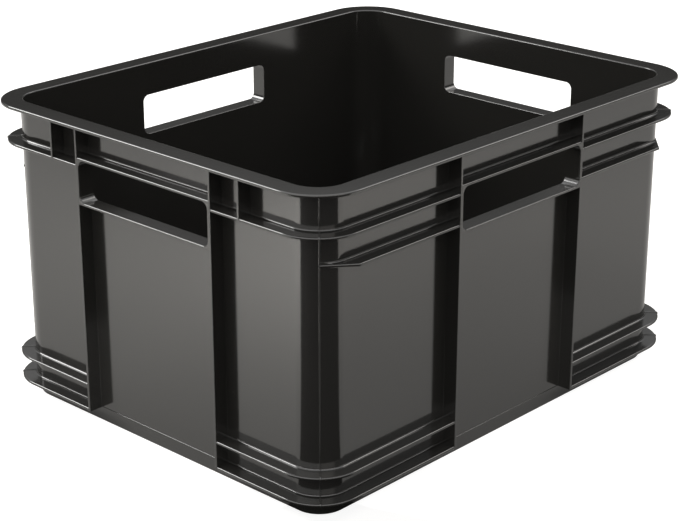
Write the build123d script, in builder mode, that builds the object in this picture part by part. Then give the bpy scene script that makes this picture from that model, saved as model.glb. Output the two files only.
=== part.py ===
# Open stacking crate with four hand grips, a single injection moulding.
# It is built as the named sections of that moulding, which meet face to face.
# Millimetres, +Z up, origin on the ground below the middle of the crate.
# +X runs along the long walls, and the front wall faces -Y.
import os
from math import cos, radians, sin

from build123d import *

# Overall size, measured over the rim
rim_length = 430.0
rim_width = 354.0
crate_height = 240.0
rim_corner_radius = 38.5

# Thicknesses
wall_thickness = 2.0
floor_thickness = 2.4
rim_thickness = 2.6
flange_thickness = 2.4
ridge_thickness = 2.2

# Reach of the outside features
rib_depth = 11.5  # wall face to rib edge
rim_overhang = 3.4  # rib edge to rim edge
root_radius = 1.6  # hollow fillet where a rib or flange grows out of the wall
root_flats = 1  # number of flats that make up that fillet
edge_chamfer = 0.6  # free edges of ribs, flanges and rim

# Heights of the middle planes, the upper ones measured down from the top of the rim
lower_band_rise = 34.6
collar_drop = 31.4
mid_rib_drop = 54.2
shelf_drop = 25.7
sill_drop = 59.8

# Places along the walls
rib_spacing = 140.0
gusset_offset = 28.0
mid_rib_run_out_angle = 40.0
mid_rib_end_step = 1.2  # what is left of the middle rib's depth at the parting line

# Base
foot_height = 13.0
foot_thickness = 2.4
foot_chamfer = 1.2
stacking_clearance = 0.5  # foot to the inside of the crate below
floor_recess = 1.0

# Hand grip openings
grip_side_thickness = 1.2
grip_corner_radius = 5.0
grip_draft_angle = 4.0
grip_edge_chamfer = 0.8
rim_inner_chamfer = 1.2

# Places worked out from the sizes above
rib_x = rim_length / 2 - rim_overhang
rib_y = rim_width / 2 - rim_overhang
wall_x = rib_x - rib_depth
wall_y = rib_y - rib_depth
wall_corner_radius = rim_corner_radius - rim_overhang - rib_depth
foot_inset = wall_thickness + stacking_clearance
floor_inset = foot_inset + foot_thickness
rib_inner_face = rib_spacing / 2 - ridge_thickness / 2
rib_outer_face = rib_spacing / 2 + ridge_thickness / 2
flange_top = foot_height + flange_thickness
rim_underside = crate_height - rim_thickness
sill_bottom = crate_height - sill_drop - ridge_thickness / 2
sill_top = sill_bottom + ridge_thickness
shelf_top = crate_height - shelf_drop + ridge_thickness / 2
shelf_bottom = shelf_top - ridge_thickness
root_step = radians(90) / (root_flats + 1)

# Wall planes: x to the right as seen from outside, y up, z outwards
wall_planes = {
    "front": Plane(origin=(0, -wall_y, 0), x_dir=(1, 0, 0), z_dir=(0, -1, 0)),
    "back": Plane(origin=(0, wall_y, 0), x_dir=(-1, 0, 0), z_dir=(0, 1, 0)),
    "left": Plane(origin=(-wall_x, 0, 0), x_dir=(0, -1, 0), z_dir=(-1, 0, 0)),
    "right": Plane(origin=(wall_x, 0, 0), x_dir=(0, 1, 0), z_dir=(1, 0, 0)),
}
corner_names = ("front_left", "front_right", "back_left", "back_right")


def write_node(builder, name):
    builder.part.label = name
    export_step(builder.part, f"parts/{name}.step")


def upright_plane(wall, position, height):
    """Section plane of an upright rib: x outwards from the wall, z up."""
    origin = wall.from_local_coords((position, height, 0))
    return Plane(origin=origin, x_dir=wall.z_dir, z_dir=(0, 0, 1))


def hollow_root(face, direction):
    """Corners of the hollow fillet between a ridge's face and the wall, from the face to the wall."""
    reach = root_radius / cos(root_step / 2)
    turns = [(step + 0.5) * root_step for step in range(root_flats + 1)]
    return [
        (root_radius - reach * sin(turn), face + direction * (root_radius - reach * cos(turn)))
        for turn in turns
    ]


def free_edge(reach, low, high):
    """Corners of a chamfered free edge, from its low face to its high face."""
    inset = reach - edge_chamfer
    return [(inset, low), (reach, low + edge_chamfer), (reach, high - edge_chamfer), (inset, high)]


def ridge_section(plane):
    """A thin rib with a chamfered edge and hollow fillets on both sides of its root."""
    half = ridge_thickness / 2
    with BuildSketch(plane) as section:
        with BuildLine():
            low_root = hollow_root(-half, -1)
            high_root = hollow_root(half, 1)
            Polyline(*reversed(low_root), *free_edge(rib_depth, -half, half), *high_root, close=True)
        make_face()
    return section.sketch


def half_ring_path():
    """The wall's outer face in plan, from the middle of the front to the middle of the back."""
    with BuildLine() as path:
        FilletPolyline(
            (0, -wall_y), (-wall_x, -wall_y), (-wall_x, wall_y), (0, wall_y), radius=wall_corner_radius
        )
    return path.line


def section_plane(path):
    """Section plane at the start of a path along the front wall: x outwards, y up."""
    return Plane(origin=path @ 0, x_dir=(0, -1, 0), z_dir=path % 0)


def bay_section_plane(wall):
    """Section plane at the end of the bay between a wall's long ribs: x outwards, y up, z along the bay."""
    bay_end = wall.from_local_coords((rib_inner_face, 0, 0))
    return Plane(origin=bay_end, x_dir=wall.z_dir, z_dir=-wall.x_dir)


def corner_path(end, height):
    """The wall's outer face in plan round the front left corner, with both ends as far from the middle."""
    with BuildLine(Plane.XY.offset(height)) as path:
        FilletPolyline((-end, -wall_y), (-wall_x, -wall_y), (-wall_x, -end), radius=wall_corner_radius)
    return path.line


def corner_flange(height):
    """A flange on edge round the front left corner, from one long rib to the other."""
    with BuildPart() as flange:
        path = corner_path(rib_outer_face, height)
        sweep(sections=ridge_section(section_plane(path)), path=path)
    return flange.part


def base_corner(end):
    """The bottom flange round the front left corner, with the bearing for wall and foot."""
    with BuildPart() as base:
        path = corner_path(end, 0)
        with BuildSketch(section_plane(path)) as section:
            with BuildLine():
                edge = free_edge(rib_depth, foot_height, flange_top)
                root = hollow_root(flange_top, 1)
                bearing = [(0, flange_top), (-floor_inset, flange_top), (-floor_inset, foot_height)]
                Polyline(*edge, *root, *bearing, close=True)
            make_face()
        sweep(sections=section.sketch, path=path)
    return base.part


def upright_ridge(wall, position, bottom, top):
    with BuildPart() as ridge:
        extrude(ridge_section(upright_plane(wall, position, bottom)), amount=top - bottom)
    return ridge.part


def write_corner_nodes(pattern, name):
    """Writes the front left section and its mirrored copies at the other corners."""
    for corner in corner_names:
        with BuildPart() as section:
            add(pattern)
            if corner.endswith("right"):
                mirror(about=Plane.YZ, mode=Mode.REPLACE)
            if corner.startswith("back"):
                mirror(about=Plane.XZ, mode=Mode.REPLACE)
        write_node(section, f"{name}_{corner}")


os.makedirs("parts", exist_ok=True)

# Floor, a plate inside the foot and a little above the ground
with BuildPart() as floor_panel:
    with BuildSketch(Plane.XY.offset(floor_recess)):
        RectangleRounded(
            2 * (wall_x - floor_inset), 2 * (wall_y - floor_inset), wall_corner_radius - floor_inset
        )
    extrude(amount=floor_thickness)
write_node(floor_panel, "floor_panel")

# Foot, the ring that drops inside the rim of the crate below
with BuildPart() as stacking_foot:
    with BuildSketch():
        RectangleRounded(
            2 * (wall_x - foot_inset), 2 * (wall_y - foot_inset), wall_corner_radius - foot_inset
        )
        offset(amount=-foot_thickness, mode=Mode.SUBTRACT)
    extrude(amount=foot_height)
    ground_face = stacking_foot.faces().sort_by(Axis.Z)[0]
    chamfer(ground_face.outer_wire().edges(), foot_chamfer)
write_node(stacking_foot, "stacking_foot")

# Bottom flange, a ring that carries the walls and reaches out round the corners, but not in the bays
with BuildPart() as bottom_flange:
    add(base_corner(rib_inner_face))
    mirror(about=Plane.YZ)
    mirror(about=Plane.XZ)
    for wall in wall_planes.values():
        with BuildSketch(bay_section_plane(wall)):
            with BuildLine():
                low_edge = [(-edge_chamfer, foot_height), (0, foot_height + edge_chamfer)]
                bearing = [(0, flange_top), (-floor_inset, flange_top), (-floor_inset, foot_height)]
                Polyline(*low_edge, *bearing, close=True)
            make_face()
        extrude(amount=2 * rib_inner_face)
write_node(bottom_flange, "bottom_flange")

# Rim, which closes the top of the walls
with BuildPart() as top_rim:
    ring_path = half_ring_path()
    with BuildSketch(section_plane(ring_path)) as rim_section:
        with BuildLine():
            root = hollow_root(rim_underside, -1)
            edge = free_edge(rib_depth + rim_overhang, rim_underside, crate_height)
            inner_top = (rim_inner_chamfer - wall_thickness, crate_height)
            inner_side = (-wall_thickness, crate_height - rim_inner_chamfer)
            bearing = [(-wall_thickness, rim_underside), (0, rim_underside)]
            Polyline(*reversed(root), *edge, inner_top, inner_side, *bearing, close=True)
        make_face()
    sweep(sections=rim_section.sketch, path=ring_path)
    mirror(about=Plane.YZ)
write_node(top_rim, "top_rim")

# Corner walls, each a bent plate that ends at the inner faces of two long ribs
with BuildPart() as corner_wall:
    with BuildSketch(Plane.XY.offset(flange_top)):
        RectangleRounded(2 * wall_x, 2 * wall_y, wall_corner_radius)
        offset(amount=-wall_thickness, mode=Mode.SUBTRACT)
        with Locations((-rib_inner_face, -rib_inner_face)):
            Rectangle(wall_x, wall_y, align=(Align.MAX, Align.MAX), mode=Mode.INTERSECT)
    extrude(amount=rim_underside - flange_top)
write_corner_nodes(corner_wall.part, "corner_wall")

# Long ribs, two on each wall, from the bottom flange to the rim, cut away beside the hand grip
rib_patterns = {}
for wall_name, end in (("front", -1), ("left", 1)):
    wall = wall_planes[wall_name]
    with BuildPart() as long_rib:
        add(upright_ridge(wall, end * rib_spacing / 2, flange_top, rim_underside))
        with BuildSketch(wall):
            with Locations((0, sill_bottom)):
                Rectangle(2 * rib_inner_face, shelf_top - sill_bottom, align=(Align.CENTER, Align.MIN))
        extrude(amount=rib_depth, mode=Mode.SUBTRACT)
        add(base_corner(0), mode=Mode.SUBTRACT)
        add(top_rim.part, mode=Mode.SUBTRACT)
    rib_patterns[wall_name] = long_rib.part
write_corner_nodes(rib_patterns["front"], "long_wall_rib")
write_corner_nodes(rib_patterns["left"], "short_wall_rib")

# Upper collar and lower band round each corner
with BuildPart() as upper_collar:
    add(corner_flange(crate_height - collar_drop))
    for rib in rib_patterns.values():
        add(rib, mode=Mode.SUBTRACT)
write_corner_nodes(upper_collar.part, "upper_collar")

with BuildPart() as lower_band:
    add(corner_flange(lower_band_rise))
    for rib in rib_patterns.values():
        add(rib, mode=Mode.SUBTRACT)
write_corner_nodes(lower_band.part, "lower_band")

# Middle rib on the long walls, which runs out to a small step on the mould's parting line at the corner
with BuildPart() as mid_rib:
    corner_centre = (wall_corner_radius - wall_x, wall_corner_radius - wall_y)
    with BuildLine(Plane.XY.offset(crate_height - mid_rib_drop)) as mid_path:
        straight = Line((-rib_outer_face, -wall_y), (corner_centre[0], -wall_y))
        CenterArc(corner_centre, wall_corner_radius, 270, -45)
    sweep(sections=ridge_section(section_plane(straight)), path=mid_path.line)
    run_out = radians(mid_rib_run_out_angle)
    run_out_end = mid_path.line @ 1 + Vector(-1, -1, 0).normalized() * mid_rib_end_step
    run_out_plane = Plane(origin=run_out_end, z_dir=(-sin(run_out), -cos(run_out), 0))
    split(bisect_by=run_out_plane, keep=Keep.BOTTOM)
    add(rib_patterns["front"], mode=Mode.SUBTRACT)
write_corner_nodes(mid_rib.part, "mid_rib")

# Gussets between the collar and the rim on the short walls
with BuildPart() as rim_gusset:
    gusset_place = rib_spacing / 2 + gusset_offset
    add(upright_ridge(wall_planes["left"], gusset_place, crate_height - collar_drop, rim_underside))
    add(upper_collar.part, mode=Mode.SUBTRACT)
    add(top_rim.part, mode=Mode.SUBTRACT)
write_corner_nodes(rim_gusset.part, "rim_gusset")

# The bay between the long ribs of each wall: a panel, a hand grip and a lintel above it
for wall_name, wall in wall_planes.items():
    with BuildPart() as side_panel:
        with BuildSketch(wall):
            with Locations((0, flange_top)):
                Rectangle(2 * rib_inner_face, sill_bottom - flange_top, align=(Align.CENTER, Align.MIN))
        extrude(amount=-wall_thickness)
    write_node(side_panel, f"side_panel_{wall_name}")

    with BuildPart() as lintel:
        with BuildSketch(wall):
            with Locations((0, shelf_top)):
                Rectangle(2 * rib_inner_face, rim_underside - shelf_top, align=(Align.CENTER, Align.MIN))
        extrude(amount=-wall_thickness)
    write_node(lintel, f"grip_lintel_{wall_name}")

    with BuildPart() as grip_frame:
        with BuildSketch(bay_section_plane(wall)):
            with BuildLine():
                low_root = hollow_root(sill_bottom, -1)
                high_root = hollow_root(shelf_top, 1)
                edge = free_edge(rib_depth, sill_bottom, shelf_top)
                low_inside = [(-wall_thickness, sill_bottom), (0, sill_bottom)]
                high_inside = [(0, shelf_top), (-wall_thickness, shelf_top)]
                Polyline(*low_inside, *reversed(low_root), *edge, *high_root, *high_inside, close=True)
            make_face()
        extrude(amount=2 * rib_inner_face)
        with BuildSketch(wall.offset(rib_depth)):
            with Locations((0, (sill_top + shelf_bottom) / 2)):
                RectangleRounded(
                    2 * (rib_inner_face - grip_side_thickness), shelf_bottom - sill_top, grip_corner_radius
                )
        extrude(amount=-(rib_depth + wall_thickness), taper=grip_draft_angle, mode=Mode.SUBTRACT)
        outwards = Axis(wall.origin, wall.z_dir)
        for mouth in (0, -1):
            mouth_face = grip_frame.faces().sort_by(outwards)[mouth]
            chamfer(mouth_face.inner_wires()[0].edges(), grip_edge_chamfer)
        for end in (-1, 1):
            add(upright_ridge(wall, end * rib_spacing / 2, flange_top, sill_bottom), mode=Mode.SUBTRACT)
            add(upright_ridge(wall, end * rib_spacing / 2, shelf_top, rim_underside), mode=Mode.SUBTRACT)
    write_node(grip_frame, f"grip_frame_{wall_name}")
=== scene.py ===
import math

import bmesh
import bpy
from mathutils import Matrix, Vector


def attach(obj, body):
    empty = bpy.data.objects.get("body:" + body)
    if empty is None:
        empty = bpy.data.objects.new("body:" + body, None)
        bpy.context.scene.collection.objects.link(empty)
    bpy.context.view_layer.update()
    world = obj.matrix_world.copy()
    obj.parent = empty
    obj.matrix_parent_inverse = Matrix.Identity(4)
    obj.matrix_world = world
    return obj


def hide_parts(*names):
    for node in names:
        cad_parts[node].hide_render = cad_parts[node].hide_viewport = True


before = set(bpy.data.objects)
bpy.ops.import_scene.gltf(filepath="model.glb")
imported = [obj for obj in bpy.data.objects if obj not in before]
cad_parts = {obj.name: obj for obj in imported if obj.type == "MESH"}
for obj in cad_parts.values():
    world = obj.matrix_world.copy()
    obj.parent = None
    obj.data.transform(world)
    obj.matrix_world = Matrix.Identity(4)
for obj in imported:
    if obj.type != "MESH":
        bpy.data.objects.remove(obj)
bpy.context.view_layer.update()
print("frame loaded")

# metres, +Z up, origin on the ground below the middle of the crate, as in the CAD frame
crate = {
    "rimLength": 0.430,
    "rimWidth": 0.354,
    "height": 0.240,
    "rimCornerRadius": 0.0385,
    "rimOverhang": 0.0034,  # rib edge to rim edge
    "ribDepth": 0.0115,  # wall face to rib edge
    "ribSpacing": 0.140,
    "ridgeThickness": 0.0022,
    "rootRadius": 0.0016,  # hollow fillet at the foot of every flange
    "uprightRoot": 0.0001,  # the same at the upright ribs
    "edgeRadius": 0.00105,  # free edges of flanges and rim, nearly full round
    "uprightEdge": 0.0005,  # the same at the upright ribs
    "wallThickness": 0.002,
    "footHeight": 0.013,
    "flangeThickness": 0.0024,
    "rimThickness": 0.0026,
    "sink": 0.000004,  # how far a fillet's thin edge dips below the wall
    "bury": 0.0006,  # how far a piece runs into what carries it
    "cornerSteps": 28,
    "rootSteps": 6,
    "edgeSteps": 7,
}
wallX = crate["rimLength"] / 2 - crate["rimOverhang"] - crate["ribDepth"]
wallY = crate["rimWidth"] / 2 - crate["rimOverhang"] - crate["ribDepth"]
wallRadius = crate["rimCornerRadius"] - crate["rimOverhang"] - crate["ribDepth"]
cornerX, cornerY = wallX - wallRadius, wallY - wallRadius
ridgeHalf = crate["ridgeThickness"] / 2
ribPlace = crate["ribSpacing"] / 2
ribInner = ribPlace - ridgeHalf
flangeTop = crate["footHeight"] + crate["flangeThickness"]
rimUnder = crate["height"] - crate["rimThickness"]


# plan and section outlines

def arcPoints(centre, radius, startAngle, endAngle, steps):
    points = []
    for i in range(steps + 1):
        a = math.radians(startAngle + (endAngle - startAngle) * i / steps)
        points.append((centre[0] + radius * math.cos(a), centre[1] + radius * math.sin(a)))
    return points


def circlePoints(radius, sides):
    return arcPoints((0, 0), radius, 0, 360, sides)[:-1]


def roundedRectangle(halfLength, low, high, radius, steps):
    # counter-clockwise from the right end of its lower side
    right, left = halfLength - radius, radius - halfLength
    centres = ((right, low + radius), (right, high - radius), (left, high - radius), (left, low + radius))
    points = []
    for i, centre in enumerate(centres):
        points += arcPoints(centre, radius, 90 * i - 90, 90 * i, steps)
    return points


def ringPath():
    # the wall's outer face in plan, counter-clockwise from the middle of the front
    return [(0, -wallY)] + roundedRectangle(wallX, -wallY, wallY, wallRadius, crate["cornerSteps"])


def cornerPath(z):
    # round the front left corner, from the left wall's rib to the front wall's rib
    arc = arcPoints((-cornerX, -cornerY), wallRadius, 180, 270, crate["cornerSteps"])
    return [(x, y, z) for x, y in [(-wallX, -ribPlace)] + arc + [(-ribPlace, -wallY)]]


def hollowRoot(faceHeight, direction, radius=crate["rootRadius"]):
    # from the ridge's face to the wall, tangent to both
    points = []
    for i in range(crate["rootSteps"] + 1):
        a = math.radians(90 * i / crate["rootSteps"])
        out = radius - radius * math.sin(a) - crate["sink"]
        points.append((out, faceHeight + direction * (radius - radius * math.cos(a))))
    return points


def roundEdge(reach, low, high, radius=crate["edgeRadius"]):
    lower = arcPoints((reach - radius, low + radius), radius, -90, 0, crate["edgeSteps"])
    return lower + arcPoints((reach - radius, high - radius), radius, 0, 90, crate["edgeSteps"])


def ridgeOutline(depth, half, root, edge=crate["edgeRadius"]):
    low, high = hollowRoot(-half, -1, root), hollowRoot(half, 1, root)
    points = list(reversed(low)) + roundEdge(depth, -half, half, edge) + high
    return points + [(-crate["bury"], high[-1][1]), (-crate["bury"], low[-1][1])]


# Geometry Nodes

sweepInputs = [
    ("Path", "NodeSocketObject", None),
    ("Section", "NodeSocketObject", None),
    ("Material", "NodeSocketMaterial", None),
]


def newTree(name, inputs):
    tree = bpy.data.node_groups.new(name, "GeometryNodeTree")
    tree.interface.new_socket(name="Geometry", in_out="INPUT", socket_type="NodeSocketGeometry")
    for label, kind, value in inputs:
        socket = tree.interface.new_socket(name=label, in_out="INPUT", socket_type=kind)
        if value is not None:
            socket.default_value = value
    tree.interface.new_socket(name="Geometry", in_out="OUTPUT", socket_type="NodeSocketGeometry")
    return tree


def addNode(tree, kind, links=None, **settings):
    node = tree.nodes.new(kind)
    for key, value in settings.items():
        setattr(node, key, value)
    for key, source in (links or {}).items():
        if isinstance(source, bpy.types.NodeSocket):
            tree.links.new(source, node.inputs[key])
        else:
            node.inputs[key].default_value = source
    return node


def mathNode(tree, operation, first, second):
    return addNode(tree, "ShaderNodeMath", {0: first, 1: second}, operation=operation).outputs[0]


def compareNode(tree, operation, first, second):
    return addNode(tree, "FunctionNodeCompare", {"A": first, "B": second}, operation=operation).outputs[0]


def betweenNode(tree, start, end):
    step = addNode(tree, "ShaderNodeVectorMath", {0: end, 1: start}, operation="SUBTRACT")
    return step.outputs["Vector"]


def dotNode(tree, first, second):
    product = addNode(tree, "ShaderNodeVectorMath", {0: first, 1: second}, operation="DOT_PRODUCT")
    return product.outputs["Value"]


def scaleNode(tree, vector, factor):
    scaled = addNode(tree, "ShaderNodeVectorMath", {0: vector, "Scale": factor}, operation="SCALE")
    return scaled.outputs["Vector"]


def objectGeometry(tree, source):
    info = addNode(tree, "GeometryNodeObjectInfo", {"Object": source}, transform_space="ORIGINAL")
    return info.outputs["Geometry"]


def uprightPath(tree, path):
    # lets the first axis of a swept section point out of the wall
    return addNode(tree, "GeometryNodeSetCurveNormal", {"Curve": path}, mode="Z_UP").outputs[0]


def sweepNodes(tree, path, section):
    links = {"Curve": path, "Profile Curve": section, "Fill Caps": True}
    return addNode(tree, "GeometryNodeCurveToMesh", links).outputs["Mesh"]


def placeNodes(tree, points, instance):
    # one copy at each host point, turned and mirrored as the point says
    turn = addNode(tree, "GeometryNodeInputNamedAttribute", {"Name": "turn"}, data_type="FLOAT_VECTOR")
    flip = addNode(tree, "GeometryNodeInputNamedAttribute", {"Name": "flip"}, data_type="FLOAT_VECTOR")
    placed = addNode(
        tree,
        "GeometryNodeInstanceOnPoints",
        {
            "Points": points,
            "Instance": instance,
            "Rotation": turn.outputs["Attribute"],
            "Scale": flip.outputs["Attribute"],
        },
    )
    return placed.outputs["Instances"]


def closeTree(tree, geometry, material):
    real = addNode(tree, "GeometryNodeRealizeInstances", {"Geometry": geometry})
    smooth = addNode(tree, "GeometryNodeSetShadeSmooth", {"Geometry": real.outputs[0], "Shade Smooth": True})
    painted = addNode(tree, "GeometryNodeSetMaterial", {"Geometry": smooth.outputs[0], "Material": material})
    addNode(tree, "NodeGroupOutput", {"Geometry": painted.outputs[0]})


def ridgeTree():
    # rib or flange: sweep, clear the root fillet beside a hand grip, copy to the other places
    tree = newTree(
        "sweptRidge",
        sweepInputs
        + [
            ("Clear From", "NodeSocketFloat", 0.0),
            ("Clear To", "NodeSocketFloat", 0.0),
            ("Clear Line", "NodeSocketFloat", 0.0),
            ("Clear Axis", "NodeSocketVector", (0.0, 0.0, 0.0)),
        ],
    )
    given = tree.nodes.new("NodeGroupInput").outputs
    path = uprightPath(tree, objectGeometry(tree, given["Path"]))
    swept = sweepNodes(tree, path, objectGeometry(tree, given["Section"]))
    position = addNode(tree, "GeometryNodeInputPosition").outputs[0]
    height = addNode(tree, "ShaderNodeSeparateXYZ", {"Vector": position}).outputs["Z"]
    above = compareNode(tree, "GREATER_THAN", height, given["Clear From"])
    below = compareNode(tree, "LESS_THAN", height, given["Clear To"])
    beside = addNode(tree, "FunctionNodeBooleanMath", {0: above, 1: below}, operation="AND")
    # what lies past the line goes back to it
    past = mathNode(tree, "SUBTRACT", dotNode(tree, position, given["Clear Axis"]), given["Clear Line"])
    back = mathNode(tree, "MULTIPLY", mathNode(tree, "MAXIMUM", past, 0.0), -1.0)
    shift = scaleNode(tree, given["Clear Axis"], back)
    cleared = addNode(
        tree,
        "GeometryNodeSetPosition",
        {"Geometry": swept, "Selection": beside.outputs[0], "Offset": shift},
    )
    closeTree(tree, placeNodes(tree, given["Geometry"], cleared.outputs[0]), given["Material"])
    return tree


def seamTree():
    tree = newTree("seamBead", sweepInputs)
    given = tree.nodes.new("NodeGroupInput").outputs
    swept = sweepNodes(tree, objectGeometry(tree, given["Path"]), objectGeometry(tree, given["Section"]))
    closeTree(tree, placeNodes(tree, given["Geometry"], swept), given["Material"])
    return tree


def runOutTree():
    # flange whose depth shrinks to a small step, where a slanting plane nears the wall
    tree = newTree(
        "runOutRidge",
        sweepInputs
        + [
            ("Run-out Point", "NodeSocketVector", (0.0, 0.0, 0.0)),
            ("Run-out Direction", "NodeSocketVector", (0.0, -1.0, 0.0)),
            ("Depth", "NodeSocketFloat", 0.01),
            ("Edge Radius", "NodeSocketFloat", 0.001),
        ],
    )
    given = tree.nodes.new("NodeGroupInput").outputs
    path = uprightPath(tree, objectGeometry(tree, given["Path"]))
    here = addNode(tree, "GeometryNodeInputPosition").outputs[0]
    normal = addNode(tree, "GeometryNodeInputNormal").outputs["Normal"]
    keep = addNode(tree, "GeometryNodeCaptureAttribute", {"Geometry": path}, domain="POINT")
    for label, value in (("foot", here), ("outward", normal)):
        keep.capture_items.new("VECTOR", label)
        tree.links.new(value, keep.inputs[label])
    foot, outward = keep.outputs["foot"], keep.outputs["outward"]
    swept = sweepNodes(tree, keep.outputs["Geometry"], objectGeometry(tree, given["Section"]))
    # distance from the wall to the slanting plane, along the wall's own outward direction
    across = dotNode(tree, betweenNode(tree, foot, given["Run-out Point"]), given["Run-out Direction"])
    room = mathNode(tree, "DIVIDE", across, dotNode(tree, outward, given["Run-out Direction"]))
    left = mathNode(tree, "MINIMUM", room, given["Depth"])
    lost = mathNode(tree, "SUBTRACT", given["Depth"], left)
    # the round edge moves in whole, and the root gives way to it
    reach = dotNode(tree, betweenNode(tree, foot, here), outward)
    edgePlace = mathNode(tree, "SUBTRACT", reach, lost)
    rootLimit = mathNode(tree, "SUBTRACT", left, given["Edge Radius"])
    rootPlace = mathNode(tree, "MINIMUM", reach, rootLimit)
    halfDepth = mathNode(tree, "MULTIPLY", given["Depth"], 0.5)
    place = addNode(
        tree,
        "GeometryNodeSwitch",
        {
            "Switch": compareNode(tree, "GREATER_THAN", reach, halfDepth),
            "False": rootPlace,
            "True": edgePlace,
        },
        input_type="FLOAT",
    )
    step = scaleNode(tree, outward, mathNode(tree, "SUBTRACT", place.outputs[0], reach))
    shaped = addNode(tree, "GeometryNodeSetPosition", {"Geometry": swept, "Offset": step})
    closeTree(tree, placeNodes(tree, given["Geometry"], shaped.outputs[0]), given["Material"])
    return tree


def cutTree(cutFirst):
    # sweep with hand grip openings: cut in place and copied, or swept whole and cut at every place
    name = "gripFrame" if cutFirst else "cutWall"
    tree = newTree(name, sweepInputs + [("Opening", "NodeSocketObject", None)])
    given = tree.nodes.new("NodeGroupInput").outputs
    path = uprightPath(tree, objectGeometry(tree, given["Path"]))
    swept = sweepNodes(tree, path, objectGeometry(tree, given["Section"]))
    opening = objectGeometry(tree, given["Opening"])
    cut = addNode(tree, "GeometryNodeMeshBoolean", operation="DIFFERENCE", solver="EXACT")
    tree.links.new(swept, cut.inputs[0])
    if cutFirst:
        tree.links.new(opening, cut.inputs[1])
        result = placeNodes(tree, given["Geometry"], cut.outputs["Mesh"])
    else:
        placed = placeNodes(tree, given["Geometry"], opening)
        real = addNode(tree, "GeometryNodeRealizeInstances", {"Geometry": placed})
        tree.links.new(real.outputs[0], cut.inputs[1])
        result = cut.outputs["Mesh"]
    closeTree(tree, result, given["Material"])
    return tree


# meshes, and the lines and cutters that the trees read

tools = []


def addObject(name, data):
    item = bpy.data.objects.new(name, data)
    bpy.context.scene.collection.objects.link(item)
    return item


def bridgeRings(bm, rings):
    loops = [[bm.verts.new(p) for p in ring] for ring in rings]
    for a, b in zip(loops, loops[1:]):
        for i in range(len(a)):
            j = (i + 1) % len(a)
            bm.faces.new((a[i], a[j], b[j], b[i]))
    return loops


def meshFrom(name, bm):
    mesh = bpy.data.meshes.new(name)
    bm.to_mesh(mesh)
    bm.free()
    return mesh


def lineTool(name, points, closed=False):
    curve = bpy.data.curves.new(name, "CURVE")
    curve.dimensions = "3D"
    spline = curve.splines.new("POLY")
    spline.points.add(len(points) - 1)
    for target, p in zip(spline.points, points):
        target.co = (p[0], p[1], p[2] if len(p) > 2 else 0.0, 1.0)
    spline.use_cyclic_u = closed
    tools.append(addObject(name, curve))
    return tools[-1]


def sectionTool(name, points):
    # a sweep lays the section's second axis downwards
    return lineTool(name, [(u, -z) for u, z in points], closed=True)


def loftTool(name, rings):
    bm = bmesh.new()
    loops = bridgeRings(bm, rings)
    bm.faces.new(loops[0])
    bm.faces.new(loops[-1])
    bmesh.ops.recalc_face_normals(bm, faces=bm.faces)
    tools.append(addObject(name, meshFrom(name, bm)))
    return tools[-1]


def hostPoints(name, places):
    # places: (position, turn about Z in degrees, mirror factors)
    mesh = bpy.data.meshes.new(name)
    mesh.from_pydata([p for p, turn, flip in places], [], [])
    turns = mesh.attributes.new("turn", "FLOAT_VECTOR", "POINT")
    flips = mesh.attributes.new("flip", "FLOAT_VECTOR", "POINT")
    for i, (p, turn, flip) in enumerate(places):
        turns.data[i].vector = (0.0, 0.0, math.radians(turn))
        flips.data[i].vector = (flip[0], flip[1], 1.0)
    return addObject(name, mesh)


onePlace = [((0, 0, 0), 0, (1, 1))]
fourCorners = [((0, 0, 0), 0, (fx, fy)) for fx in (1, -1) for fy in (1, -1)]
fourWalls = [
    ((0, -wallY, 0), 0, (1, 1)),
    ((wallX, 0, 0), 90, (1, 1)),
    ((0, wallY, 0), 180, (1, 1)),
    ((-wallX, 0, 0), 270, (1, 1)),
]


def plainMesh(item):
    graph = bpy.context.evaluated_depsgraph_get()
    return bpy.data.meshes.new_from_object(item.evaluated_get(graph), depsgraph=graph)


def growPiece(name, tree, places, inputs):
    host = hostPoints(name, places)
    modifier = host.modifiers.new(name, "NODES")
    modifier.node_group = tree
    for item in tree.interface.items_tree:
        if item.item_type == "SOCKET" and item.in_out == "INPUT" and item.name in inputs:
            modifier[item.identifier] = inputs[item.name]
    bpy.context.view_layer.update()
    mesh = plainMesh(host)
    host.modifiers.clear()
    host.data = mesh
    finishMesh(host)
    return host


shading = {
    "weld": 1e-7,
    "sliver": 1e-8,  # shorter edges go
    "sharpAngle": 35.0,  # degrees, from which an edge stays sharp
    "faceWeight": 50,
}


def finishMesh(piece):
    # weld, face outwards, then let the large faces rule the shading
    mesh = piece.data
    bm = bmesh.new()
    bm.from_mesh(mesh)
    bmesh.ops.remove_doubles(bm, verts=bm.verts, dist=shading["weld"])
    bmesh.ops.dissolve_degenerate(bm, edges=bm.edges, dist=shading["sliver"])
    bmesh.ops.recalc_face_normals(bm, faces=bm.faces)
    sharp = math.radians(shading["sharpAngle"])
    for edge in bm.edges:
        edge.smooth = len(edge.link_faces) == 2 and edge.calc_face_angle(0.0) < sharp
    for face in bm.faces:
        face.smooth = True
    bm.to_mesh(mesh)
    bm.free()
    for name in ("turn", "flip"):
        if name in mesh.attributes:
            mesh.attributes.remove(mesh.attributes[name])
    weighted = piece.modifiers.new("evenShading", "WEIGHTED_NORMAL")
    weighted.keep_sharp = True
    weighted.weight = shading["faceWeight"]
    bpy.context.view_layer.update()
    shaded = plainMesh(piece)
    piece.modifiers.clear()
    piece.data = shaded
    shaded.name = piece.name
    bpy.data.meshes.remove(mesh)


def dress(piece, *nodes):
    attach(piece, "root")
    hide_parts(*nodes)
    print("made", piece.name, len(piece.data.polygons), "faces")


def cornerNodes(name):
    return [f"{name}_{y}_{x}" for y in ("front", "back") for x in ("left", "right")]


def wallNodes(name):
    return [f"{name}_{side}" for side in ("front", "back", "left", "right")]


# semi-gloss black polypropylene

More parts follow.
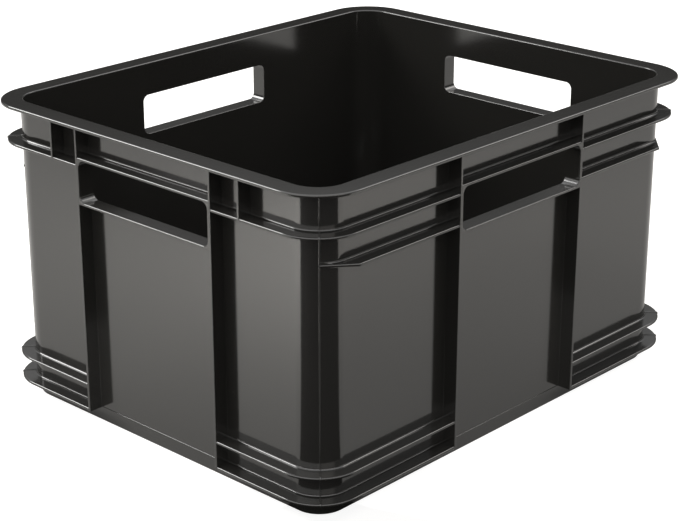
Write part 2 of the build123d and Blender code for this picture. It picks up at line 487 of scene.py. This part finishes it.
plastic = {
    "dark": (0.015, 0.0145, 0.0132, 1.0),
    "light": (0.0174, 0.0168, 0.0153, 1.0),
    "roughFrom": 0.1,
    "roughTo": 0.14,
    "index": 1.49,
    "specular": 1.0,
    "flowScale": 9.0,  # broad change in colour and gloss, per metre
    "flowDetail": 3.0,
    "flowRange": (0.3, 0.7),  # the part of it that changes the gloss
    "grainScale": 1800.0,
    "grainDetail": 2.0,
    "grainStrength": 0.03,
    "grainHeight": 0.0001,
}


def noiseNode(tree, where, scale, detail):
    links = {"Vector": where, "Scale": scale, "Detail": detail}
    return addNode(tree, "ShaderNodeTexNoise", links).outputs["Fac"]


def glossPlastic():
    material = bpy.data.materials.new("crate_plastic")
    material.use_nodes = True
    tree = material.node_tree
    tree.nodes.clear()
    where = addNode(tree, "ShaderNodeTexCoord").outputs["Object"]
    flow = noiseNode(tree, where, plastic["flowScale"], plastic["flowDetail"])
    grain = noiseNode(tree, where, plastic["grainScale"], plastic["grainDetail"])
    colour = addNode(
        tree,
        "ShaderNodeMix",
        {"Factor": flow, 6: plastic["dark"], 7: plastic["light"]},  # 6 and 7 are the two colours
        data_type="RGBA",
    )
    gloss = addNode(
        tree,
        "ShaderNodeMapRange",
        {
            "Value": flow,
            "From Min": plastic["flowRange"][0],
            "From Max": plastic["flowRange"][1],
            "To Min": plastic["roughFrom"],
            "To Max": plastic["roughTo"],
        },
    )
    bump = addNode(
        tree,
        "ShaderNodeBump",
        {"Strength": plastic["grainStrength"], "Distance": plastic["grainHeight"], "Height": grain},
    )
    shader = addNode(
        tree,
        "ShaderNodeBsdfPrincipled",
        {
            "Base Color": colour.outputs[2],
            "Roughness": gloss.outputs["Result"],
            "Normal": bump.outputs["Normal"],
            "IOR": plastic["index"],
            "Specular IOR Level": plastic["specular"],
        },
    )
    addNode(tree, "ShaderNodeOutputMaterial", {"Surface": shader.outputs[0]})
    return material


cratePlastic = glossPlastic()
ridges = ridgeTree()
runOuts = runOutTree()
wallCutter = cutTree(False)
gripCutter = cutTree(True)
beads = seamTree()

# rim

rim = {"innerRadius": 0.0009, "innerSteps": 8}


def rimOutline():
    wall, radius, top = crate["wallThickness"], rim["innerRadius"], crate["height"]
    points = [(-wall, rimUnder)]
    points += arcPoints((radius - wall, top - radius), radius, 180, 90, rim["innerSteps"])
    points += list(reversed(roundEdge(crate["ribDepth"] + crate["rimOverhang"], rimUnder, top)))
    points += hollowRoot(rimUnder, -1)
    return points + [(-crate["bury"], points[-1][1]), (-crate["bury"], rimUnder)]


ringLine = lineTool("ringLine", ringPath(), closed=True)
topRim = growPiece(
    "topRim",
    ridges,
    onePlace,
    {"Path": ringLine, "Section": sectionTool("rimSection", rimOutline()), "Material": cratePlastic},
)
dress(topRim, "top_rim")

# stacking foot and the ring above it that carries the walls

base = {
    "footInset": 0.0025,
    "footThickness": 0.0024,
    "footRound": 0.0013,
    "stepRound": 0.0007,  # lower edge of the ring, seen between the long ribs
    "floorTop": 0.0034,
    "floorUnder": 0.001,
    "ledgeRound": 0.0012,
    "floorFillet": 0.003,
    "filletLift": 0.0004,  # underside of the fillet above that of the floor
    "roundSteps": 6,
    "filletSteps": 8,
}


def baseOutline():
    inset, steps = base["footInset"], base["roundSteps"]
    inner = inset + base["footThickness"]
    foot, low, ledge, fillet = base["footRound"], base["stepRound"], base["ledgeRound"], base["floorFillet"]
    under = base["floorUnder"] + base["filletLift"]
    filletCentre = (-inner - fillet, base["floorTop"] + fillet - crate["sink"])
    points = arcPoints((-low, crate["footHeight"] + low), low, -90, 0, steps) + [(0.0, flangeTop)]
    points += arcPoints((-inner + ledge, flangeTop - ledge), ledge, 90, 180, steps)
    points += arcPoints(filletCentre, fillet, 0, -90, base["filletSteps"])
    points += [(-inner - fillet, under), (-inner, under), (-inner, 0.0)]
    points += arcPoints((-inset - foot, foot), foot, -90, 0, steps)
    return points + [(-inset, crate["footHeight"])]


stackingFoot = growPiece(
    "stackingFoot",
    ridges,
    onePlace,
    {"Path": ringLine, "Section": sectionTool("baseSection", baseOutline()), "Material": cratePlastic},
)
dress(stackingFoot, "stacking_foot")

# bottom flange round the corners


def flangeOutline():
    points = roundEdge(crate["ribDepth"], crate["footHeight"], flangeTop) + hollowRoot(flangeTop, 1)
    return points + [(-crate["bury"], points[-1][1]), (-crate["bury"], crate["footHeight"])]


bottomFlanges = growPiece(
    "bottomFlanges",
    ridges,
    fourCorners,
    {
        "Path": lineTool("flangeLine", cornerPath(0.0)),
        "Section": sectionTool("flangeSection", flangeOutline()),
        "Material": cratePlastic,
    },
)
dress(bottomFlanges, "bottom_flange")

# floor plate with the small gate mark that moulding leaves under its middle

floorPlate = {
    "overlap": 0.0006,  # how far its edge runs into the foot
    "cornerSteps": 12,
    "gateRadius": 0.003,
    "gateDrop": 0.0005,
    "gateRings": ((1.0, 0.0), (0.8, 0.9), (0.4, 1.0)),  # shares of radius and drop
    "gateSides": 24,
}


def ringEdges(bm, ring):
    return [bm.edges.get((ring[i], ring[(i + 1) % len(ring)])) for i in range(len(ring))]


def makeFloor():
    inset = base["footInset"] + base["footThickness"] - floorPlate["overlap"]
    x, y, radius = wallX - inset, wallY - inset, wallRadius - inset
    plan = roundedRectangle(x, -y, y, radius, floorPlate["cornerSteps"])
    under, top = base["floorUnder"], base["floorTop"]
    bm = bmesh.new()
    lower, upper = bridgeRings(bm, [[(px, py, z) for px, py in plan] for z in (under, top)])
    bm.faces.new(upper)
    gateRings = []
    for width, drop in floorPlate["gateRings"]:
        circle = circlePoints(floorPlate["gateRadius"] * width, floorPlate["gateSides"])
        gateRings.append([(px, py, under - floorPlate["gateDrop"] * drop) for px, py in circle])
    gate = bridgeRings(bm, gateRings)
    bm.faces.new(gate[-1])
    edges = ringEdges(bm, lower) + ringEdges(bm, gate[0])
    bmesh.ops.triangle_fill(bm, use_beauty=True, edges=edges, normal=(0, 0, -1))
    mesh = meshFrom("floorPanel", bm)
    mesh.materials.append(cratePlastic)
    piece = addObject("floorPanel", mesh)
    finishMesh(piece)
    return piece


dress(makeFloor(), "floor_panel")

# hand grip openings

grip = {
    "sillDrop": 0.0598,  # below the top of the rim, at the middle of the sill
    "shelfDrop": 0.0257,
    "sideThickness": 0.0012,
    "cornerRadius": 0.005,
    "cornerSteps": 8,
    "draft": -1.0,  # degrees
    "lipRadius": 0.0009,
    "innerRadius": 0.0005,
    "lipTurn": 66.0,  # degrees, how far round the lips go
    "lipSteps": 6,
    "cutReach": 0.004,  # how far the cutter stands out on both sides
}
sillUnder = crate["height"] - grip["sillDrop"] - ridgeHalf
shelfTop = crate["height"] - grip["shelfDrop"] + ridgeHalf


def openingRing(out, grow):
    # a rounded rectangle in the front wall's own frame: x along the wall, -y out of it
    halfLength = ribInner - grip["sideThickness"] + grow
    low = sillUnder + crate["ridgeThickness"] - grow
    high = shelfTop - crate["ridgeThickness"] + grow
    ring = roundedRectangle(halfLength, low, high, grip["cornerRadius"] + grow, grip["cornerSteps"])
    return [(x, -out, z) for x, z in ring]


def openingStations():
    # how far out of the wall each ring of the cutter lies, and by how much it is wider there
    depth, wall = crate["ribDepth"], crate["wallThickness"]
    lip, inner, steps = grip["lipRadius"], grip["innerRadius"], grip["lipSteps"]
    turns = [math.radians(grip["lipTurn"] * i / steps) for i in range(steps + 1)]
    stations = [(depth - lip + lip * math.sin(a), lip - lip * math.cos(a)) for a in reversed(turns)]
    stations.insert(0, (depth + grip["cutReach"], stations[0][1]))
    stations.append((0.0, 0.0))
    stations += [(-wall + inner - inner * math.sin(a), inner - inner * math.cos(a)) for a in turns]
    stations.append((-wall - grip["cutReach"], stations[-1][1]))
    slope = math.tan(math.radians(grip["draft"]))
    return [(out, grow - (depth - max(min(out, depth), -wall)) * slope) for out, grow in stations]


gripOpening = loftTool("gripOpening", [openingRing(out, grow) for out, grow in openingStations()])

# wall all round, opened at the four grips

wallSection = [
    (-crate["wallThickness"], flangeTop),
    (0.0, flangeTop),
    (0.0, rimUnder),
    (-crate["wallThickness"], rimUnder),
]
crateWall = growPiece(
    "crateWall",
    wallCutter,
    fourWalls,
    {
        "Path": ringLine,
        "Section": sectionTool("wallSection", wallSection),
        "Opening": gripOpening,
        "Material": cratePlastic,
    },
)
dress(crateWall, *cornerNodes("corner_wall"), *wallNodes("side_panel"), *wallNodes("grip_lintel"))

# grip frames: a short tunnel with sill and shelf between two long ribs


def gripOutline():
    under, over = hollowRoot(sillUnder, -1), hollowRoot(shelfTop, 1)
    return list(reversed(under)) + roundEdge(crate["ribDepth"], sillUnder, shelfTop) + over


gripReach = ribInner + crate["bury"]
gripFrames = growPiece(
    "gripFrames",
    gripCutter,
    fourWalls,
    {
        "Path": lineTool("gripLine", [(-gripReach, 0, 0), (gripReach, 0, 0)]),
        "Section": sectionTool("gripSection", gripOutline()),
        "Opening": gripOpening,
        "Material": cratePlastic,
    },
)
dress(gripFrames, *wallNodes("grip_frame"))

# long ribs

longRib = {
    "bury": 0.0008,  # how far the ends run into rim and grip
    "lift": 0.00002,  # how far they stop above the underside of the flange
    "step": 0.00001,  # height over which the root fillet gives way beside a grip
}
gripLow, gripHigh = sillUnder + longRib["bury"], shelfTop - longRib["bury"]
ribLevels = [
    crate["footHeight"] + longRib["lift"],
    gripLow,
    gripLow + longRib["step"],
    gripHigh - longRib["step"],
    gripHigh,
    rimUnder + longRib["bury"],
]
clearBand = {
    "Clear From": gripLow + longRib["step"] / 2,
    "Clear To": gripHigh - longRib["step"] / 2,
    "Clear Line": -ribInner,
}
ribOutline = ridgeOutline(crate["ribDepth"], ridgeHalf, crate["uprightRoot"], crate["uprightEdge"])
frontRibSection = lineTool("frontRibSection", [(v, -u) for u, v in ribOutline], closed=True)
leftRibSection = lineTool("leftRibSection", [(-u, v) for u, v in ribOutline], closed=True)

longWallRibs = growPiece(
    "longWallRibs",
    ridges,
    fourCorners,
    {
        "Path": lineTool("frontRibLine", [(-ribPlace, -wallY, z) for z in ribLevels]),
        "Section": frontRibSection,
        "Material": cratePlastic,
        "Clear Axis": (1.0, 0.0, 0.0),
        **clearBand,
    },
)
dress(longWallRibs, *cornerNodes("long_wall_rib"))

shortWallRibs = growPiece(
    "shortWallRibs",
    ridges,
    fourCorners,
    {
        "Path": lineTool("leftRibLine", [(-wallX, -ribPlace, z) for z in ribLevels]),
        "Section": leftRibSection,
        "Material": cratePlastic,
        "Clear Axis": (0.0, 1.0, 0.0),
        **clearBand,
    },
)
dress(shortWallRibs, *cornerNodes("short_wall_rib"))

# collars and bands round the corners

collar = {"drop": 0.0314}  # from the top of the rim to the collar's middle
band = {"rise": 0.0346}  # from the ground to the band's middle
collarHeight = crate["height"] - collar["drop"]
ridgeSection = sectionTool("ridgeSection", ridgeOutline(crate["ribDepth"], ridgeHalf, crate["rootRadius"]))
upperCollars = growPiece(
    "upperCollars",
    ridges,
    fourCorners,
    {
        "Path": lineTool("collarLine", cornerPath(collarHeight)),
        "Section": ridgeSection,
        "Material": cratePlastic,
    },
)
dress(upperCollars, *cornerNodes("upper_collar"))

lowerBands = growPiece(
    "lowerBands",
    ridges,
    fourCorners,
    {
        "Path": lineTool("bandLine", cornerPath(band["rise"])),
        "Section": ridgeSection,
        "Material": cratePlastic,
    },
)
dress(lowerBands, *cornerNodes("lower_band"))

# middle ribs on the long walls, which run out at the corner

midRib = {
    "drop": 0.0542,
    "runOutAngle": 40.0,  # degrees from the front wall to the slanting plane
    "endStep": 0.0012,  # depth that is left in the middle of the corner
    "cornerSteps": 26,
    "straightStep": 0.0005,
    "straightSteps": 40,
}


def midRibPath():
    # from the middle of the corner to the front wall's rib, in fine steps where it runs out
    z = crate["height"] - midRib["drop"]
    arc = arcPoints((-cornerX, -cornerY), wallRadius, 225, 270, midRib["cornerSteps"])
    offsets = [midRib["straightStep"] * i for i in range(1, midRib["straightSteps"] + 1)]
    straight = [(-cornerX + offset, -wallY) for offset in offsets]
    return [(x, y, z) for x, y in arc + straight + [(-ribPlace, -wallY)]]


midLine = midRibPath()
runOut = math.radians(midRib["runOutAngle"])
runOutEnd = Vector(midLine[0]) + Vector((-1.0, -1.0, 0.0)).normalized() * midRib["endStep"]
midRibs = growPiece(
    "midRibs",
    runOuts,
    fourCorners,
    {
        "Path": lineTool("midLine", midLine),
        "Section": ridgeSection,
        "Material": cratePlastic,
        "Run-out Point": runOutEnd,
        "Run-out Direction": (-math.sin(runOut), -math.cos(runOut), 0.0),
        "Depth": crate["ribDepth"],
        "Edge Radius": crate["edgeRadius"],
    },
)
dress(midRibs, *cornerNodes("mid_rib"))

# gussets between collar and rim on the short walls

gusset = {"offset": 0.028, "bury": 0.0008}
gussetPlace = ribPlace + gusset["offset"]
gussetLevels = (collarHeight + ridgeHalf - gusset["bury"], rimUnder + gusset["bury"])
rimGussets = growPiece(
    "rimGussets",
    ridges,
    fourCorners,
    {
        "Path": lineTool("gussetLine", [(-wallX, -gussetPlace, z) for z in gussetLevels]),
        "Section": leftRibSection,
        "Material": cratePlastic,
    },
)
dress(rimGussets, *cornerNodes("rim_gusset"))

# the mould's witness line down each corner, over wall, collar, band and bottom flange

seam = {"radius": 0.0006, "sides": 16}


def seamPath():
    section = hollowRoot(rimUnder, -1)[-1:]
    for level in (collarHeight, band["rise"]):
        low, high = level - ridgeHalf, level + ridgeHalf
        section += list(reversed(hollowRoot(high, 1)))
        section += list(reversed(roundEdge(crate["ribDepth"], low, high)))
        section += hollowRoot(low, -1)
    section += list(reversed(hollowRoot(flangeTop, 1)))
    section += list(reversed(roundEdge(crate["ribDepth"], crate["footHeight"], flangeTop)))
    slant = math.sqrt(0.5)  # the middle of the corner faces 45 degrees
    places = [((wallRadius + out) * slant, z) for out, z in section]
    return [(-cornerX - step, -cornerY - step, z) for step, z in places]


seamRing = circlePoints(seam["radius"], seam["sides"])
seamLines = growPiece(
    "seamLines",
    beads,
    fourCorners,
    {
        "Path": lineTool("seamLine", seamPath()),
        "Section": lineTool("seamSection", seamRing, closed=True),
        "Material": cratePlastic,
    },
)
dress(seamLines)

# the fine line between the long ribs, where the wall ends and the foot steps in

bayEdge = {"radius": 0.00038, "sides": 16}
bayEdgeHeight = crate["footHeight"] + base["stepRound"]
bayEdgeRing = circlePoints(bayEdge["radius"], bayEdge["sides"])
bayLines = growPiece(
    "bayLines",
    beads,
    fourWalls,
    {
        "Path": lineTool("bayEdgeLine", [(-ribInner, 0, bayEdgeHeight), (ribInner, 0, bayEdgeHeight)]),
        "Section": lineTool("bayEdgeSection", bayEdgeRing, closed=True),
        "Material": cratePlastic,
    },
)
dress(bayLines)

for tool in tools:
    bpy.data.objects.remove(tool)
print("crate built")

# white floor with a raised edge far outside the view

ground = {
    "radius": 14.0,
    "edge": ((0.0, 0.0), (2.0, 0.3), (3.0, 2.4)),  # steps outwards and up
    "sides": 96,
    "white": (0.45, 0.44, 0.422, 1.0),
    "glow": 0.06,
    "mirrorGlow": 0.15,  # where the floor is mirrored
    "cameraGlow": 0.9,  # as the camera sees it: white, with a faint shadow
}


def betweenValues(tree, share, low, high):
    links = {"Value": share, "To Min": low, "To Max": high}
    return addNode(tree, "ShaderNodeMapRange", links).outputs["Result"]


def floorMaterial():
    material = bpy.data.materials.new("studioFloor")
    material.use_nodes = True
    tree = material.node_tree
    tree.nodes.clear()
    ray = addNode(tree, "ShaderNodeLightPath").outputs
    mirrored = mathNode(tree, "MAXIMUM", ray["Is Glossy Ray"], ray["Is Transmission Ray"])
    unseen = betweenValues(tree, mirrored, ground["glow"], ground["mirrorGlow"])
    strength = betweenValues(tree, ray["Is Camera Ray"], unseen, ground["cameraGlow"])
    glow = addNode(tree, "ShaderNodeEmission", {"Strength": strength})
    diffuse = addNode(tree, "ShaderNodeBsdfDiffuse", {"Color": ground["white"]})
    both = addNode(tree, "ShaderNodeAddShader", {0: glow.outputs[0], 1: diffuse.outputs[0]})
    addNode(tree, "ShaderNodeOutputMaterial", {"Surface": both.outputs[0]})
    return material


def studioFloor():
    rings = []
    for out, up in ground["edge"]:
        circle = circlePoints(ground["radius"] + out, ground["sides"])
        rings.append([(x, y, up) for x, y in circle])
    bm = bmesh.new()
    loops = bridgeRings(bm, rings)
    bm.faces.new(loops[0])
    bmesh.ops.recalc_face_normals(bm, faces=bm.faces)
    mesh = meshFrom("studioFloor", bm)
    mesh.materials.append(floorMaterial())
    addObject("studioFloor", mesh)


studioFloor()

# dark card on the floor in front, hidden from the camera, standing for the open front of a light tent: it
# paints a dark reflection down the near corner and painted shade on the faces turned to the front

paintedShadeCard = {
    # near-black colour of the card: painted dark reflection and painted shade, never seen directly
    "tone": (0.008, 0.008, 0.008, 1.0),
    "roughness": 0.9,
    "tip": (-0.172, -0.134),  # below the near corner
    "turn": 227.0,  # degrees, towards the camera
    "spread": 62.0,
    "reach": 1.6,
    "steps": 12,
    "lift": 0.0002,
}


def darkFlag():
    tip, turn, spread = paintedShadeCard["tip"], paintedShadeCard["turn"], paintedShadeCard["spread"]
    plan = [tip] + arcPoints(tip, paintedShadeCard["reach"], turn - spread, turn + spread, paintedShadeCard["steps"])
    mesh = bpy.data.meshes.new("darkFlag")
    mesh.from_pydata([(x, y, paintedShadeCard["lift"]) for x, y in plan], [], [list(range(len(plan)))])
    material = bpy.data.materials.new("darkFlag")
    material.use_nodes = True
    shader = material.node_tree.nodes["Principled BSDF"]
    shader.inputs["Base Color"].default_value = paintedShadeCard["tone"]
    shader.inputs["Roughness"].default_value = paintedShadeCard["roughness"]
    mesh.materials.append(material)
    flag = addObject("darkFlag", mesh)
    # unseen by the camera and casting no shadow, so it only darkens reflections and bounced light
    flag.visible_camera = flag.visible_shadow = flag.visible_transmission = False


darkFlag()

# a room that grows lighter upwards

sky = {
    "low": 0.03,  # near the horizon
    "high": 1.3,  # overhead
    "rise": (0.24, 0.65),  # sine of the height at which it starts and stops growing lighter
}


def studioRoom():
    world = bpy.data.worlds.new("studio")
    world.use_nodes = True
    tree = world.node_tree
    towards = addNode(tree, "ShaderNodeTexCoord").outputs["Generated"]
    lightness = addNode(
        tree,
        "ShaderNodeMapRange",
        {
            "Value": addNode(tree, "ShaderNodeSeparateXYZ", {"Vector": towards}).outputs["Z"],
            "From Min": sky["rise"][0],
            "From Max": sky["rise"][1],
            "To Min": sky["low"],
            "To Max": sky["high"],
        },
        interpolation_type="SMOOTHSTEP",
    )
    background = tree.nodes["Background"]
    background.inputs["Color"].default_value = (1.0, 1.0, 1.0, 1.0)
    tree.links.new(lightness.outputs["Result"], background.inputs["Strength"])
    bpy.context.scene.world = world


studioRoom()

# two large lamps behind, two long cards, and two small fills for the floor beside the walls

leftWall, rightWall = (-0.2, 0.0, 0.12), (0.0, -0.16, 0.12)
leftTone, rightTone = (1.0, 0.99, 0.97), (1.0, 0.95, 0.9)
lamps = {
    "leftLight": {
        "ends": ((-1.6, 2.15, 1.47), (-0.68, 2.09, 2.34)),
        "wide": 1.2,
        "aim": leftWall,
        "power": 54.0,
        "tone": leftTone,
    },
    "rightLight": {
        "ends": ((2.15, -1.29, 1.73), (2.09, -0.45, 2.51)),
        "wide": 1.05,
        "aim": rightWall,
        "power": 11.5,
        "tone": rightTone,
    },
    "leftCard": {
        "ends": ((-1.7, -1.5, 0.8), (-1.7, 1.6, 0.8)),
        "wide": 0.5,
        "aim": leftWall,
        "power": 9.0,
        "tone": leftTone,
    },
    "frontCard": {
        "ends": ((-1.9, -1.5, 0.98), (0.1, -2.6, 0.98)),
        "wide": 0.5,
        "aim": rightWall,
        "power": 5.5,
        "tone": rightTone,
    },
    "leftFill": {
        "ends": ((-0.7, -0.1, 1.0), (-0.7, 0.3, 1.0)),
        "wide": 0.25,
        "aim": (-0.7, 0.1, 0.0),
        "power": 2.4,
        "tone": leftTone,
        "spread": 45.0,
    },
    "rightFill": {
        "ends": ((0.0, -0.75, 1.0), (0.5, -0.75, 1.0)),
        "wide": 0.3,
        "aim": (0.25, -0.75, 0.0),
        "power": 0.9,
        "tone": rightTone,
        "spread": 50.0,
    },
}


def softbox(name, ends, wide, aim, power, tone, spread=180.0):
    # a strip of light between two ends, turned towards the aim
    start, end = Vector(ends[0]), Vector(ends[1])
    place = (start + end) / 2
    back = (place - Vector(aim)).normalized()
    along = end - start
    along = (along - back * along.dot(back)).normalized()
    light = bpy.data.lights.new(name, "AREA")
    light.shape = "RECTANGLE"
    light.size, light.size_y = (end - start).length, wide
    light.energy = power
    light.color = tone
    light.spread = math.radians(spread)
    lamp = addObject(name, light)
    lamp.location = place
    lamp.rotation_euler = Matrix((along, back.cross(along), back)).transposed().to_euler()
    lamp.visible_camera = False


for name, settings in lamps.items():
    softbox(name, **settings)

# camera

view = {
    "place": (-1.0084, -0.9381, 0.6244),
    "yaw": 0.81764,  # radians, from +Y towards +X
    "pitch": 0.36709,  # radians, downwards
    "focal": 1850.0,  # in pixels
    "frameWidth": 680,  # in pixels
    "sensorWidth": 36.0,
    "clip": (0.01, 100.0),
}


def photoCamera():
    lens = bpy.data.cameras.new("photoCamera")
    lens.sensor_width = view["sensorWidth"]
    lens.lens = view["focal"] / view["frameWidth"] * view["sensorWidth"]
    lens.clip_start, lens.clip_end = view["clip"]
    camera = addObject("photoCamera", lens)
    camera.location = view["place"]
    level = math.cos(view["pitch"])
    look = Vector((math.sin(view["yaw"]) * level, math.cos(view["yaw"]) * level, -math.sin(view["pitch"])))
    camera.rotation_euler = look.to_track_quat("-Z", "Y").to_euler()
    bpy.context.scene.camera = camera


photoCamera()
bpy.context.scene.view_settings.view_transform = "Standard"
print("stage set")
